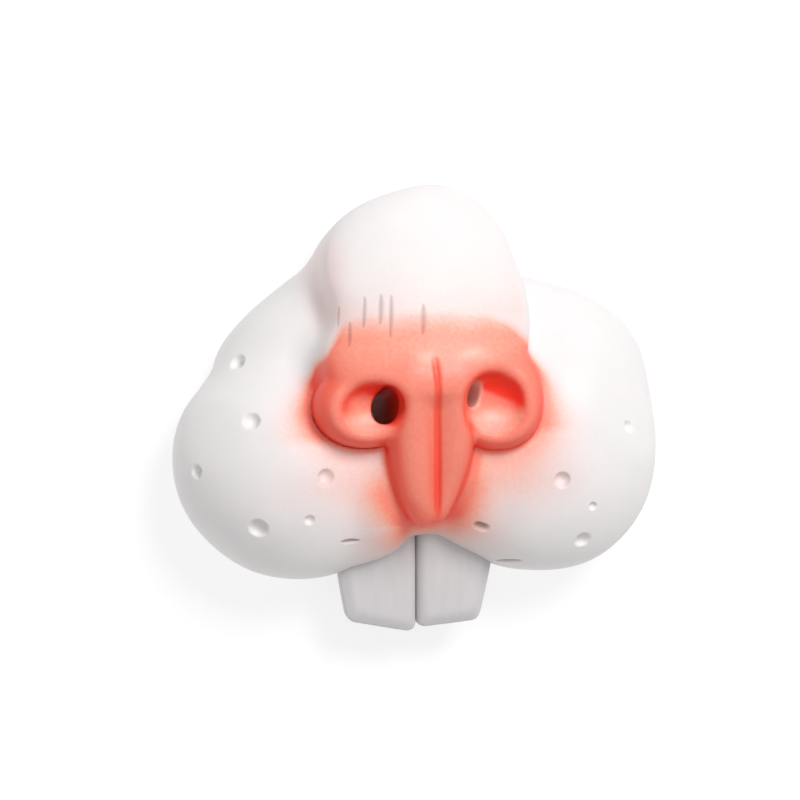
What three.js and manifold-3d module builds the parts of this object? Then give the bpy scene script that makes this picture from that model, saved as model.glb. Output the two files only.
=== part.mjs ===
// Costume rabbit nose: a hollow latex moulding of a rabbit's muzzle, with two incisors seated in its lip.
// Millimetres. It lies on its open back: +Z points out of the face, +Y up the face, +X to the viewer's right.
import * as THREE from "three";
import { mergeVertices } from "three/addons/utils/BufferGeometryUtils.js";
import Module from "manifold-3d";

const wasm = await Module();
wasm.setup();

// Driving dimensions. Places are measured from the nose's centre line, level with the nostrils, and heights
// from the flat back edge.
const WALL = 2.2; // thickness of the latex
const FIT_GAP = 0.3; // room that the lip leaves around a tooth
const CUT_PAST = 3; // how far a cutting solid runs past the face that it opens
const FACE_REACH = 62; // a distance from the nostrils that is clear of the moulding

// The skin and the hollow are found along rays from this seat inside the muzzle.
const SEAT = { x: 0, y: -2, z: 8 };
const RAY_REACH = 90;
const RAY_STEP = 1;
const HALVINGS = 20;

// Lobes that flow together into the muzzle: centre, half-sizes, power (2 is an ellipsoid, more is boxier),
// spin about Z and tilt about X in degrees, and the width of the blend into the lobes above it.
const LOBES = table(
  ["name", "x", "y", "z", "rx", "ry", "rz", "power", "spin", "tilt", "blend"],
  [
    ["right_cheek", 31.9, -11.9, 16, 29.2, 30.5, 21.5, 2.16, -4.8, 0, 0],
    ["right_web", 29, 10.6, 8, 31.5, 18.9, 14, 2.36, -13.8, 0, 10],
    ["left_cheek", -29.9, -15.8, 15, 28.3, 25.1, 22, 2, -36.4, 0, 10],
    ["left_web", -16.5, 11.5, 6, 20.5, 28.3, 21, 3, -53.3, 0, 8],
    ["lip", 1.1, -13.8, 14, 22.4, 15.2, 24.5, 2.24, -1.9, 0, 8],
    ["left_lip", -10.2, -24, 14, 11, 13.8, 20, 2.08, 0, 0, 5],
    ["right_lip", 13.8, -22.5, 14, 11, 13.2, 19, 2.1, 0, 0, 3.5],
    ["middle_lip", 2.4, -25.2, 18, 6.5, 6.6, 10.5, 2.2, 0, 0, 3],
    ["bridge", 2.7, 23.8, 16.5, 23.8, 25.9, 38.8, 2.55, 17.4, -6, 3],
    ["nose_tip", -0.7, 8, 33, 23.8, 11.5, 15.5, 2.7, 0, 0, 8],
  ],
);

// The slope that falls from the bend of the nose up the bridge. It is crowned across the face.
const SLOPE = { y: 10, z: 48, fallDegrees: 22, crownX: 2, crownRadius: 60, blend: 4 };

// The swellings around the nostrils, which are solid apart from their bowls.
const WINGS = table(
  ["name", "x", "y", "z", "rx", "ry", "rz", "power", "spin", "tilt", "blend"],
  [
    ["left_wing", -14.6, -1.1, 36.5, 12.2, 9.8, 9.5, 2.05, -3.5, 0, 1],
    ["right_wing", 16.8, 0, 36.5, 11, 12.3, 9.5, 2.3, 0, 0, 1],
  ],
);

// Tapered round bars that make the two columns under the nose tip and fill the valley between them: the top
// and foot of each, and the width of the blend into the bars above it.
const BARS = table(
  ["name", "topX", "topY", "topZ", "topRadius", "footX", "footY", "footZ", "footRadius", "blend"],
  [
    ["septum", 0.3, 4, 41.4, 5, 1.8, -23.5, 31.8, 3, 0],
    ["left_top", -5, 6, 42.1, 6.2, -4.3, -10, 38.6, 5.5, 3],
    ["left_upper", -4.3, -10, 38.6, 5.5, -3.7, -17, 36.8, 5.1, 0],
    ["left_lower", -3.7, -17, 36.8, 5.1, -2.8, -22.5, 35.2, 4.6, 0],
    ["left_foot", -2.8, -22.5, 35.2, 4.6, -1.6, -26.2, 34.1, 3.8, 0],
    ["right_top", 5.3, 6, 42.1, 6, 5.8, -6, 39.5, 5.2, 3],
    ["right_upper", 5.8, -6, 39.5, 5.2, 5.7, -13, 37.9, 4.5, 0],
    ["right_middle", 5.7, -13, 37.9, 4.5, 5.1, -18.5, 36.5, 3.6, 0],
    ["right_lower", 5.1, -18.5, 36.5, 3.6, 4.2, -23.5, 35.1, 2.7, 0],
    ["right_foot", 4.2, -23.5, 35.1, 2.7, 3.2, -27.4, 34, 1.9, 0],
  ],
);
const COLUMN_BLEND = 1.5; // how softly the columns meet the lip

// Nostrils: a dished bowl in each wing, and an oval bore from the bowl into the hollow. A short sleeve of
// latex follows the bore behind the bowl.
const BOWLS = table(
  ["name", "x", "y", "z", "rx", "ry", "rz", "power", "spin", "tilt"],
  [
    ["left_bowl", -14.9, -2.2, 47.5, 7.2, 6.4, 8.3, 2.1, 0, 0],
    ["right_bowl", 15, -2, 47.5, 7.4, 7.8, 8.3, 2.2, 0, 0],
  ],
);
const BOWL_BLEND = 5; // how softly the hollow gives way to the back of a bowl
const BORES = table(
  ["name", "mouthX", "mouthY", "mouthZ", "backX", "backY", "backZ", "radius"],
  [
    ["left_bore", -9.6, -0.1, 44, -14, -6.7, 22, 2.7],
    ["right_bore", 11, 1.3, 44, 5.5, 0.2, 22, 2.2],
  ],
);
const BORE_STRETCH = 1.5; // how much taller than wide a bore is
const SLEEVE = { wall: 1.6, share: 0.64 }; // thickness, and the share of the bore that it follows

// Whisker pits pressed into the cheeks: place on the front, half-width and depth.
const WHISKER_PITS = table(
  ["x", "y", "halfWidth", "depth"],
  [
    [-41.9, 10.2, 2.2, 1.1],
    [-40.7, -3.7, 2.3, 1.2],
    [-53.0, -15.1, 1.8, 0.9],
    [-24.2, -17.4, 2.2, 1.0],
    [-39.7, -28.6, 2.4, 1.3],
    [-28.1, -27.1, 1.4, 0.7],
    [50.4, -8.1, 1.9, 0.9],
    [32.3, -20.0, 2.2, 1.1],
    [38.6, -34.6, 2.2, 1.1],
    [40.2, -26.5, 1.4, 0.6],
  ],
);

// Openings in the back edge: one over the wearer's mouth, one over the bridge of the wearer's nose.
const MOUTH_ARCH = { halfWidth: 20.5, height: 17, corner: 9, near: -5, far: -FACE_REACH };
const BROW_ARCH = { halfWidth: 14, height: 10, corner: 8, near: FACE_REACH, far: 26 };

// Incisors: a bevelled plate each, whose tip leans back towards the wearer and has its inner corner cut.
const TEETH = table(
  ["name", "side", "length", "rootWidth", "tipWidth", "tipRise", "cutRun", "cutRise"],
  [
    ["tooth_left", -1, 29.6, 20.8, 17, 3.6, 2.4, 1.3],
    ["tooth_right", 1, 28.4, 20.6, 15.2, 1.3, 1.2, 0.8],
  ],
);
const TOOTH = { thickness: 4.6, bevel: 1.3, corner: 2.4 };
const TOOTH_SEAT = { x: 0.85, halfGap: 0.15, y: -27, z: 20.2, leanDegrees: 8 };

// Fineness of the meshes.
const SKIN = { segments: 80, rings: 40 };
const HOLLOW = { segments: 48, rings: 16 };
const RING_CROWDING = 0.55; // share of the ring spacing that grows towards the rim
const STEEPEST = THREE.MathUtils.degToRad(135); // no rim lies further round the seat than this
const BOWL_SIDES = 20;
const PIT_SIDES = 10;
const HOLE_SIDES = 14;
const ARCH_SIDES = 6;
const BEVEL_SIDES = 2;

const latex = new THREE.MeshStandardMaterial({ color: 0xf4f0ef, roughness: 0.55, metalness: 0 });
const toothWhite = new THREE.MeshStandardMaterial({ color: 0xdfdbda, roughness: 0.45, metalness: 0 });

// A table's rows as objects, with a key for each named column.
function table(columns, rows) {
  return rows.map((row) => Object.fromEntries(columns.map((column, i) => [column, row[i]])));
}

// The smaller of two distances, rounded off over the blend's width where they are close.
function blendedMin(a, b, blend) {
  const near = Math.max(blend - Math.abs(a - b), 0);
  return Math.min(a, b) - (near > 0 ? (near * near) / (4 * blend) : 0);
}

// The larger of two distances, rounded off in the same way.
function blendedMax(a, b, blend) {
  return -blendedMin(-a, -b, blend);
}

// Distance from a point to a lobe's skin, below zero inside the lobe.
function lobeDistance(lobe, p) {
  const spin = THREE.MathUtils.degToRad(lobe.spin);
  const tilt = THREE.MathUtils.degToRad(lobe.tilt);
  const dx = p.x - lobe.x;
  const dy = p.y - lobe.y;
  const dz = p.z - lobe.z;
  const along = Math.cos(spin) * dy - Math.sin(spin) * dx;
  const ux = Math.abs(Math.cos(spin) * dx + Math.sin(spin) * dy) / lobe.rx;
  const uy = Math.abs(Math.cos(tilt) * along + Math.sin(tilt) * dz) / lobe.ry;
  const uz = Math.abs(Math.cos(tilt) * dz - Math.sin(tilt) * along) / lobe.rz;
  const n = lobe.power;
  const m = n - 1;
  const size = Math.max((ux ** n + uy ** n + uz ** n) ** (1 / n), Number.EPSILON);
  const slope = Math.hypot(ux ** m / lobe.rx, uy ** m / lobe.ry, uz ** m / lobe.rz) / size ** m;
  return (size - 1) / slope;
}

// Lobes added one after the other to a distance already known.
function addLobes(lobes, p, distance) {
  return lobes.reduce((d, lobe) => blendedMin(d, lobeDistance(lobe, p), lobe.blend), distance);
}

// Distance to a tapered round bar with rounded ends.
function barDistance(bar, p) {
  const top = new THREE.Vector3(bar.topX, bar.topY, bar.topZ);
  const foot = new THREE.Vector3(bar.footX, bar.footY, bar.footZ);
  const axis = new THREE.Line3(top, foot);
  const point = new THREE.Vector3(p.x, p.y, p.z);
  const share = axis.closestPointToPointParameter(point, true);
  const radius = THREE.MathUtils.lerp(bar.topRadius, bar.footRadius, share);
  return axis.at(share, new THREE.Vector3()).distanceTo(point) - radius;
}

// Distance to the two columns and the septum between them.
function columnDistance(p) {
  return BARS.reduce((d, bar) => blendedMin(d, barDistance(bar, p), bar.blend), Infinity);
}

// Height of a point above the crowned slope of the bridge.
function aboveSlope(p) {
  const fall = THREE.MathUtils.degToRad(SLOPE.fallDegrees);
  const crown = (p.x - SLOPE.crownX) ** 2 / (2 * SLOPE.crownRadius);
  return (p.y - SLOPE.y) * Math.sin(fall) + (p.z - SLOPE.z) * Math.cos(fall) + crown;
}

// Distance to the cheeks, lip, bridge and nose tip, with the bridge trimmed to its slope.
function bodyDistance(p) {
  return blendedMax(addLobes(LOBES, p, Infinity), aboveSlope(p), SLOPE.blend);
}

// Distance to the outer skin, before nostrils and pits are cut.
function skinDistance(p) {
  const winged = addLobes(WINGS, p, bodyDistance(p));
  const whole = blendedMin(winged, columnDistance(p), COLUMN_BLEND);
  return blendedMax(whole, aboveSlope(p), SLOPE.blend);
}

// Distance to the hollow, which keeps a wall under the skin and behind the nostril bowls.
function hollowDistance(p) {
  const behind = (d, bowl) => blendedMax(d, WALL - lobeDistance(bowl, p), BOWL_BLEND);
  return BOWLS.reduce(behind, bodyDistance(p) + WALL);
}

// Where a ray from the seat leaves a form: at its first way out, or at its last.
function castRay(distance, direction, takeFirst) {
  const at = (t) => new THREE.Vector3(SEAT.x, SEAT.y, SEAT.z).addScaledVector(direction, t);
  let inside = 0;
  for (let t = RAY_STEP; t < RAY_REACH; t += RAY_STEP) {
    if (distance(at(t)) < 0) inside = t;
    else if (takeFirst) break;
  }
  let outside = inside + RAY_STEP;
  for (let i = 0; i < HALVINGS; i += 1) {
    const middle = (inside + outside) / 2;
    if (distance(at(middle)) < 0) inside = middle;
    else outside = middle;
  }
  return at(inside);
}

// A unit direction at a polar angle from +Z and an azimuth about it.
function rayDirection(polar, azimuth) {
  const fromY = new THREE.Vector3().setFromSphericalCoords(1, polar, azimuth);
  return new THREE.Vector3(fromY.x, -fromY.z, fromY.y);
}

// The polar angle at which a form's skin comes down to the back edge, at one azimuth.
function rimPolar(distance, azimuth, takeFirst) {
  let above = 0;
  let below = STEEPEST;
  for (let i = 0; i < HALVINGS; i += 1) {
    const middle = (above + below) / 2;
    if (castRay(distance, rayDirection(middle, azimuth), takeFirst).z > 0) above = middle;
    else below = middle;
  }
  return above;
}

// A closed dome on a flat base: a sphere's vertices moved along their rays to the form's skin. The rings are
// close together over the nose and spread towards the rim.
function domeGeometry(distance, { segments, rings }, takeFirst) {
  const geometry = new THREE.SphereGeometry(1, segments, rings + 1);
  const position = geometry.getAttribute("position");
  const row = segments + 1;
  for (let column = 0; column < row; column += 1) {
    const azimuth = (2 * Math.PI * (column % segments)) / segments;
    const rim = rimPolar(distance, azimuth, takeFirst);
    for (let ring = 0; ring <= rings; ring += 1) {
      const share = ring / rings;
      const polar = rim * share * (1 - RING_CROWDING + RING_CROWDING * share ** 2);
      const p = castRay(distance, rayDirection(polar, azimuth), takeFirst);
      position.setXYZ(ring * row + column, p.x, p.y, ring < rings ? p.z : 0);
    }
    position.setXYZ((rings + 1) * row + column, SEAT.x, SEAT.y, 0);
  }
  return geometry;
}

// A closed geometry as a solid that can be joined and cut.
function solidOf(geometry) {
  const bare = geometry.clone();
  bare.deleteAttribute("normal");
  bare.deleteAttribute("uv");
  const merged = mergeVertices(bare);
  const vertProperties = new Float32Array(merged.getAttribute("position").array);
  const triVerts = new Uint32Array(merged.index.array);
  return new wasm.Manifold(new wasm.Mesh({ numProp: 3, vertProperties, triVerts }));
}

// A solid's faces as a geometry.
function geometryOf(solid) {
  const { vertProperties, triVerts } = solid.getMesh();
  const geometry = new THREE.BufferGeometry();
  geometry.setAttribute("position", new THREE.BufferAttribute(vertProperties, 3));
  geometry.setIndex(new THREE.BufferAttribute(triVerts, 1));
  geometry.computeVertexNormals();
  return geometry;
}

// The front of the skin over a place on the face, and the way it faces.
function frontOfSkin(x, y) {
  const step = RAY_STEP / 10;
  let z = FACE_REACH;
  while (skinDistance({ x, y, z }) > 0) z -= step;
  const here = skinDistance({ x, y, z });
  const normal = new THREE.Vector3(
    skinDistance({ x: x + step, y, z }) - here,
    skinDistance({ x, y: y + step, z }) - here,
    skinDistance({ x, y, z: z + step }) - here,
  ).normalize();
  return { point: new THREE.Vector3(x, y, z), normal };
}

// The ball whose cap is a whisker pit of the given half-width and depth.
function pitGeometry({ x, y, halfWidth, depth }) {
  const { point, normal } = frontOfSkin(x, y);
  const radius = (halfWidth ** 2 + depth ** 2) / (2 * depth);
  const centre = point.addScaledVector(normal, radius - depth);
  return new THREE.SphereGeometry(radius, PIT_SIDES, PIT_SIDES).translate(centre.x, centre.y, centre.z);
}

// The ball that dishes a wing.
function bowlGeometry({ x, y, z, rx, ry, rz }) {
  return new THREE.SphereGeometry(1, BOWL_SIDES, BOWL_SIDES).scale(rx, ry, rz).translate(x, y, z);
}

// An oval bar along a bore, from its mouth over a share of its length. The outset is the sleeve around it.
function boreGeometry(bore, share, outset) {
  const mouth = new THREE.Vector3(bore.mouthX, bore.mouthY, bore.mouthZ);
  const back = new THREE.Vector3(bore.backX, bore.backY, bore.backZ);
  const end = mouth.clone().lerp(back, share);
  const middle = mouth.clone().lerp(end, 0.5);
  const along = mouth.clone().sub(end);
  const heading = along.clone().normalize();
  const turn = new THREE.Quaternion().setFromUnitVectors(THREE.Object3D.DEFAULT_UP, heading);
  const radius = bore.radius + outset;
  return new THREE.CylinderGeometry(radius, radius, along.length(), HOLE_SIDES)
    .scale(1, 1, BORE_STRETCH)
    .applyQuaternion(turn)
    .translate(middle.x, middle.y, middle.z);
}

// A round-shouldered arch cut up from the back edge, between two heights on the face.
function archGeometry({ halfWidth, height, corner, near, far }) {
  const profile = new THREE.Shape();
  profile.moveTo(-halfWidth, -CUT_PAST);
  profile.lineTo(halfWidth, -CUT_PAST);
  profile.absarc(halfWidth - corner, height - corner, corner, 0, Math.PI / 2);
  profile.absarc(corner - halfWidth, height - corner, corner, Math.PI / 2, Math.PI);
  profile.closePath();
  const settings = { depth: near - far, bevelEnabled: false, curveSegments: ARCH_SIDES };
  return new THREE.ExtrudeGeometry(profile, settings).rotateX(Math.PI / 2).translate(0, near, 0);
}

// A tooth's bevelled plate, hanging along -Y from its root, with its front at z 0. The outset is the room
// that its socket adds all round.
function toothGeometry({ side, length, rootWidth, tipWidth, tipRise, cutRun, cutRise }, outset) {
  const { thickness, bevel, corner } = TOOTH;
  const inner = side * TOOTH_SEAT.halfGap;
  const root = new THREE.Vector2(inner + side * rootWidth, 0);
  const tip = new THREE.Vector2(inner, -length);
  const heel = new THREE.Vector2(inner + side * tipWidth, tipRise - length);
  const heelStart = heel.clone().lerp(tip, corner / heel.distanceTo(tip));
  const heelEnd = heel.clone().lerp(root, corner / heel.distanceTo(root));
  const cutEnd = tip.clone().lerp(heel, cutRun / tipWidth);
  const outline = new THREE.Shape();
  outline.moveTo(inner, 0);
  outline.lineTo(tip.x, tip.y + cutRise);
  outline.lineTo(cutEnd.x, cutEnd.y);
  outline.lineTo(heelStart.x, heelStart.y);
  outline.quadraticCurveTo(heel.x, heel.y, heelEnd.x, heelEnd.y);
  outline.lineTo(root.x, root.y);
  outline.closePath();
  return new THREE.ExtrudeGeometry(outline, {
    depth: thickness + 2 * outset - 2 * bevel,
    bevelThickness: bevel,
    bevelSize: bevel,
    bevelOffset: outset - bevel,
    bevelSegments: BEVEL_SIDES,
    curveSegments: ARCH_SIDES,
  }).translate(0, 0, bevel - thickness - outset);
}

// A tooth in its place, with its root behind the lip.
function makeTooth(tooth) {
  const mesh = new THREE.Mesh(toothGeometry(tooth, 0), toothWhite);
  mesh.name = tooth.name;
  mesh.position.set(TOOTH_SEAT.x, TOOTH_SEAT.y, TOOTH_SEAT.z);
  mesh.rotation.x = THREE.MathUtils.degToRad(TOOTH_SEAT.leanDegrees);
  mesh.updateMatrix();
  return mesh;
}

// The latex muzzle: the skin less its hollow, with sleeves behind the nostrils, less the nostrils, pits, back
// arches and the sockets of the teeth.
function makeMuzzle(teeth) {
  const skin = solidOf(domeGeometry(skinDistance, SKIN, false));
  const wall = skin.subtract(solidOf(domeGeometry(hollowDistance, HOLLOW, true)));
  const sleeves = BORES.map((bore) => solidOf(boreGeometry(bore, SLEEVE.share, SLEEVE.wall)).intersect(skin));
  const blank = sleeves.reduce((solid, sleeve) => solid.add(sleeve), wall);
  const cuts = [
    archGeometry(MOUTH_ARCH),
    archGeometry(BROW_ARCH),
    ...BOWLS.map(bowlGeometry),
    ...BORES.map((bore) => boreGeometry(bore, 1, 0)),
    ...WHISKER_PITS.map(pitGeometry),
    ...TEETH.map((tooth, i) => toothGeometry(tooth, FIT_GAP).applyMatrix4(teeth[i].matrix)),
  ];
  const shell = cuts.reduce((solid, cut) => solid.subtract(solidOf(cut)), blank);
  const mesh = new THREE.Mesh(geometryOf(shell), latex);
  mesh.name = "muzzle";
  return mesh;
}

const teeth = TEETH.map(makeTooth);
const rabbitNose = new THREE.Group();
rabbitNose.add(makeMuzzle(teeth), ...teeth);

// The origin is the middle of the footprint, on the surface that the back edge lies on.
const footprint = new THREE.Box3().setFromObject(rabbitNose, true);
const middle = footprint.getCenter(new THREE.Vector3());
rabbitNose.position.set(-middle.x, -middle.y, -footprint.min.z);

export default rabbitNose;
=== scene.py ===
"""Costume rabbit nose: a satin white latex muzzle, airbrushed coral over the nose, with grey-white incisors.

Every form is a field of distance to its skin, worked out in millimetres in the sculpt's own frame: the
nose's centre line is x 0, the nostrils are level with y 0, and the flat back edge is z 0. A net of quads is
drawn on each field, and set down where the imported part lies.
"""
import logging
import math
from collections.abc import Callable, Iterable
from dataclasses import dataclass, field, replace
from enum import Enum
from functools import partial

import bmesh
import bpy
import numpy as np
from mathutils import Matrix, Vector

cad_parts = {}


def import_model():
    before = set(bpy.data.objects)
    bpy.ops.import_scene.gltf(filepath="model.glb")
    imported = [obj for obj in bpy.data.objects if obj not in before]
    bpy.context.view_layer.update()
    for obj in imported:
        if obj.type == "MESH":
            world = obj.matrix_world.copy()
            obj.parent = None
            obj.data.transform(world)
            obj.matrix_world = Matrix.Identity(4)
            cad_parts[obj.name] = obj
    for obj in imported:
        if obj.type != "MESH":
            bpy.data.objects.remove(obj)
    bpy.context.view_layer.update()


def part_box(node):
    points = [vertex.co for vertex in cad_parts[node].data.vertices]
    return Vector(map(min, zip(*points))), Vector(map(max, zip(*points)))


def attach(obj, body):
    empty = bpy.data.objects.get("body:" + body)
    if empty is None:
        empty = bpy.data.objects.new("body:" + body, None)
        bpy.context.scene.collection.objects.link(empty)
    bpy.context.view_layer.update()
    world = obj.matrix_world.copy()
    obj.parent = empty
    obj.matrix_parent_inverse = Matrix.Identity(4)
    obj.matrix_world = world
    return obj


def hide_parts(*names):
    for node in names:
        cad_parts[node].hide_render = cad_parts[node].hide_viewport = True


Array = np.ndarray
Distance = Callable[[Array], Array]
Pair = tuple[float, float]
Span = tuple[float, float]  # where something starts and where it ends
Triple = tuple[float, float, float]

MM = 0.001
BODY = "root"
LEAST = 1e-4  # keeps a division clear of zero
FRONT_REACH = 60.0  # a height that is clear of the whole sculpt, in mm
COLOUR_MIX = {"data_type": "RGBA", "clamp_factor": True}
log = logging.getLogger("rabbit_nose")


class Side(Enum):
    """The viewer's left or right."""

    LEFT = -1
    RIGHT = 1


class Slot(Enum):
    """Material slots of the record."""

    LATEX = "latex"
    TOOTH = "tooth"


class Layer(Enum):
    """Attributes that the sculpt leaves on its mesh for the finishes to read."""

    CORAL = "coral"
    # painted shade: how far the paint is darkened in creases, on steep sides, in the groove, the bowls'
    # roofs and the bores
    CAVITY = "cavity"
    OUTSIDE = "outside"
    # the darkening of pressed marks: the hair nicks' own brown, and painted shade in the lip slits and nicks
    MARK = "mark"


def soft_step(share: Array) -> Array:
    """Gives 0 below zero, 1 above one, and a soft step between."""
    t = np.clip(share, 0.0, 1.0)
    return t * t * (3.0 - 2.0 * t)


def blended_min(a: Array, b: Array, blend: float) -> Array:
    """Gives the smaller of two distances, rounded off over the blend's width where they are close."""
    near = np.maximum(blend - np.abs(a - b), 0.0)
    return np.minimum(a, b) - (near * near / (4.0 * blend) if blend > 0.0 else 0.0)


def blended_max(a: Array, b: Array, blend: float) -> Array:
    """Gives the larger of two distances, rounded off in the same way."""
    return -blended_min(-a, -b, blend)


def ramp(values: Array, span: Span) -> Array:
    """Rises softly from 0 at the span's start to 1 at its end, which may be the lower of the two."""
    return soft_step((values - span[0]) / (span[1] - span[0]))


def bell(values: Array, middle: Array | float, width: float) -> Array:
    """Gives 1 at the middle, and falls off to both sides over the width."""
    return np.exp(-(((values - middle) / width) ** 2))


def slopes(distance: Distance, points: Array, step: float = 0.05) -> Array:
    """Measures how a field grows along each axis.

    Args:
        distance: The field.
        points: Where to measure, in mm.
        step: Half the spacing of the two samples on each axis, in mm.

    Returns:
        One gradient for each point.
    """
    shifts = np.eye(3, dtype=np.float32) * step
    return np.stack([distance(points + s) - distance(points - s) for s in shifts], -1) / (2.0 * step)


def linear(hex_colour: str) -> tuple[float, float, float, float]:
    """Turns an sRGB hex colour into a linear one.

    Args:
        hex_colour: The colour, as # and six digits.

    Returns:
        Red, green, blue and alpha.
    """
    channels = [int(hex_colour[i : i + 2], 16) / 255.0 for i in (1, 3, 5)]
    rgb = [c / 12.92 if c <= 0.04045 else ((c + 0.055) / 1.055) ** 2.4 for c in channels]
    return (rgb[0], rgb[1], rgb[2], 1.0)


def add_node(
    tree: bpy.types.NodeTree,
    kind: str,
    settings: dict[str, object] | None = None,
    inputs: dict[str | int, object] | None = None,
) -> bpy.types.Node:
    """Adds a node with its settings and links.

    Args:
        tree: The tree that gets the node.
        kind: The node's type.
        settings: Properties of the node, by name.
        inputs: For an input's name or number, the socket to link from or the value to set.

    Returns:
        The new node.
    """
    node = tree.nodes.new(kind)
    for name, value in (settings or {}).items():
        setattr(node, name, value)
    for key, value in (inputs or {}).items():
        if isinstance(value, bpy.types.NodeSocket):
            tree.links.new(value, node.inputs[key])
        else:
            node.inputs[key].default_value = value
    return node


def make_plain(piece: bpy.types.Object) -> None:
    """Makes a piece's modifiers part of its mesh.

    Args:
        piece: The object, which has no modifiers left afterwards.
    """
    graph = bpy.context.evaluated_depsgraph_get()
    made = bpy.data.meshes.new_from_object(
        piece.evaluated_get(graph), preserve_all_data_layers=True, depsgraph=graph
    )
    piece.modifiers.clear()
    piece.data = made


def add_object(name: str, data: bpy.types.ID) -> bpy.types.Object:
    """Puts an object into the scene.

    Args:
        name: The object's name.
        data: Its mesh, lamp or camera.

    Returns:
        The object, at the origin.
    """
    made = bpy.data.objects.new(name, data)
    bpy.context.scene.collection.objects.link(made)
    return made


def new_material(name: str) -> bpy.types.Material:
    """Makes a material whose tree is still empty.

    Args:
        name: The material's name.

    Returns:
        The material.
    """
    made = bpy.data.materials.new(name)
    made.use_nodes = True
    made.node_tree.nodes.clear()
    return made


def grid_lines(span: Span, fine: Span, steps: Pair) -> Array:
    """Spaces grid lines over a span, with a finer spacing over one stretch of it.

    Args:
        span: Where the lines start and end, in mm.
        fine: The stretch that is drawn finely, in mm.
        steps: The coarse and the fine spacing, in mm.

    Returns:
        The places of the lines.
    """
    low, high = span
    coarse_step, fine_step = steps
    start, end = max(low, fine[0]), min(high, fine[1])
    before = np.arange(start, low - coarse_step, -coarse_step)[:0:-1]
    middle = np.arange(start, end, fine_step)
    after = np.arange(end, high + coarse_step, coarse_step)
    return np.concatenate([before, middle, after]).astype(np.float32)


@dataclass(frozen=True)
class SkinNet:
    """A net of quads drawn on a field of distance, over a grid of lines along each axis."""

    lines: tuple[Array, Array, Array]
    slice_size: int = 400_000
    settle_rounds: int = 3
    least_steep: float = 0.05

    def values(self, distance: Distance) -> Array:
        """Works the field out on the whole grid, a slice at a time.

        Args:
            distance: The field.

        Returns:
            The distances, in the shape of the grid.
        """
        points = np.stack(np.meshgrid(*self.lines, indexing="ij"), -1).reshape(-1, 3)
        starts = range(0, len(points), self.slice_size)
        parts = [distance(points[i : i + self.slice_size]) for i in starts]
        return np.concatenate(parts).reshape([len(line) for line in self.lines])

    def draw(self, distance: Distance) -> tuple[Array, Array]:
        """Draws the skin where the field passes zero.

        Args:
            distance: The field, which is above zero at the grid's border.

        Returns:
            The vertices in mm, and four vertex numbers for each quad, facing out.
        """
        values = self.values(distance)
        cells = [len(line) - 1 for line in self.lines]
        crossings, cell_ids, outwards = [], [], []
        for axis in range(3):
            low = np.take(values, range(values.shape[axis] - 1), axis)
            high = np.take(values, range(1, values.shape[axis]), axis)
            found = np.stack(np.nonzero((low < 0.0) != (high < 0.0)), -1)
            at = tuple(found.T)
            share = low[at] / (low[at] - high[at])
            place = np.stack([self.lines[k][found[:, k]] for k in range(3)], -1)
            ahead = self.lines[axis][found[:, axis] + 1]
            place[:, axis] += share * (ahead - place[:, axis])
            b, c = (axis + 1) % 3, (axis + 2) % 3
            ring = []
            for shift_b, shift_c in ((-1, -1), (0, -1), (0, 0), (-1, 0)):
                cell = found.copy()
                cell[:, b] += shift_b
                cell[:, c] += shift_c
                ring.append(np.ravel_multi_index(tuple(cell.T), cells))
            crossings.append(place)
            cell_ids.append(np.stack(ring, -1))
            outwards.append(low[at] < 0.0)
        ids = np.concatenate(cell_ids)
        used, corner = np.unique(ids, return_inverse=True)
        corner = corner.reshape(-1, 4)
        places = np.repeat(np.concatenate(crossings), 4, axis=0)
        counts = np.bincount(corner.ravel(), minlength=len(used))
        sums = [np.bincount(corner.ravel(), places[:, k], len(used)) for k in range(3)]
        vertices = (np.stack(sums, -1) / counts[:, None]).astype(np.float32)
        facing = np.concatenate(outwards)
        quads = np.where(facing[:, None], corner, corner[:, ::-1])
        return vertices, quads

    @staticmethod
    def relax(vertices: Array, quads: Array) -> Array:
        """Evens a net out by moving each vertex to the middle of the quads around it.

        Args:
            vertices: The net's vertices, in mm.
            quads: Four vertex numbers for each quad.

        Returns:
            The moved vertices.
        """
        corners = quads.ravel()
        middles = np.repeat(vertices[quads].mean(1), 4, axis=0)
        sums = [np.bincount(corners, middles[:, k], len(vertices)) for k in range(3)]
        counts = np.bincount(corners, minlength=len(vertices))
        return (np.stack(sums, -1) / counts[:, None]).astype(np.float32)

    def settle(self, distance: Distance, vertices: Array) -> Array:
        """Moves vertices along the field's slope until they lie on the skin.

        Args:
            distance: The field.
            vertices: Places near the skin, in mm.

        Returns:
            The places on the skin.
        """
        reach = 0.5 * float(min(np.diff(line).min() for line in self.lines))
        places = vertices.astype(np.float32)
        for _ in range(self.settle_rounds):
            slope = slopes(distance, places)
            steep = np.maximum((slope * slope).sum(-1), self.least_steep)
            move = (distance(places) / steep)[:, None] * slope
            length = np.maximum(np.linalg.norm(move, axis=-1, keepdims=True), LEAST)
            places = places - move * np.minimum(1.0, reach / length)
        return places


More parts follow.
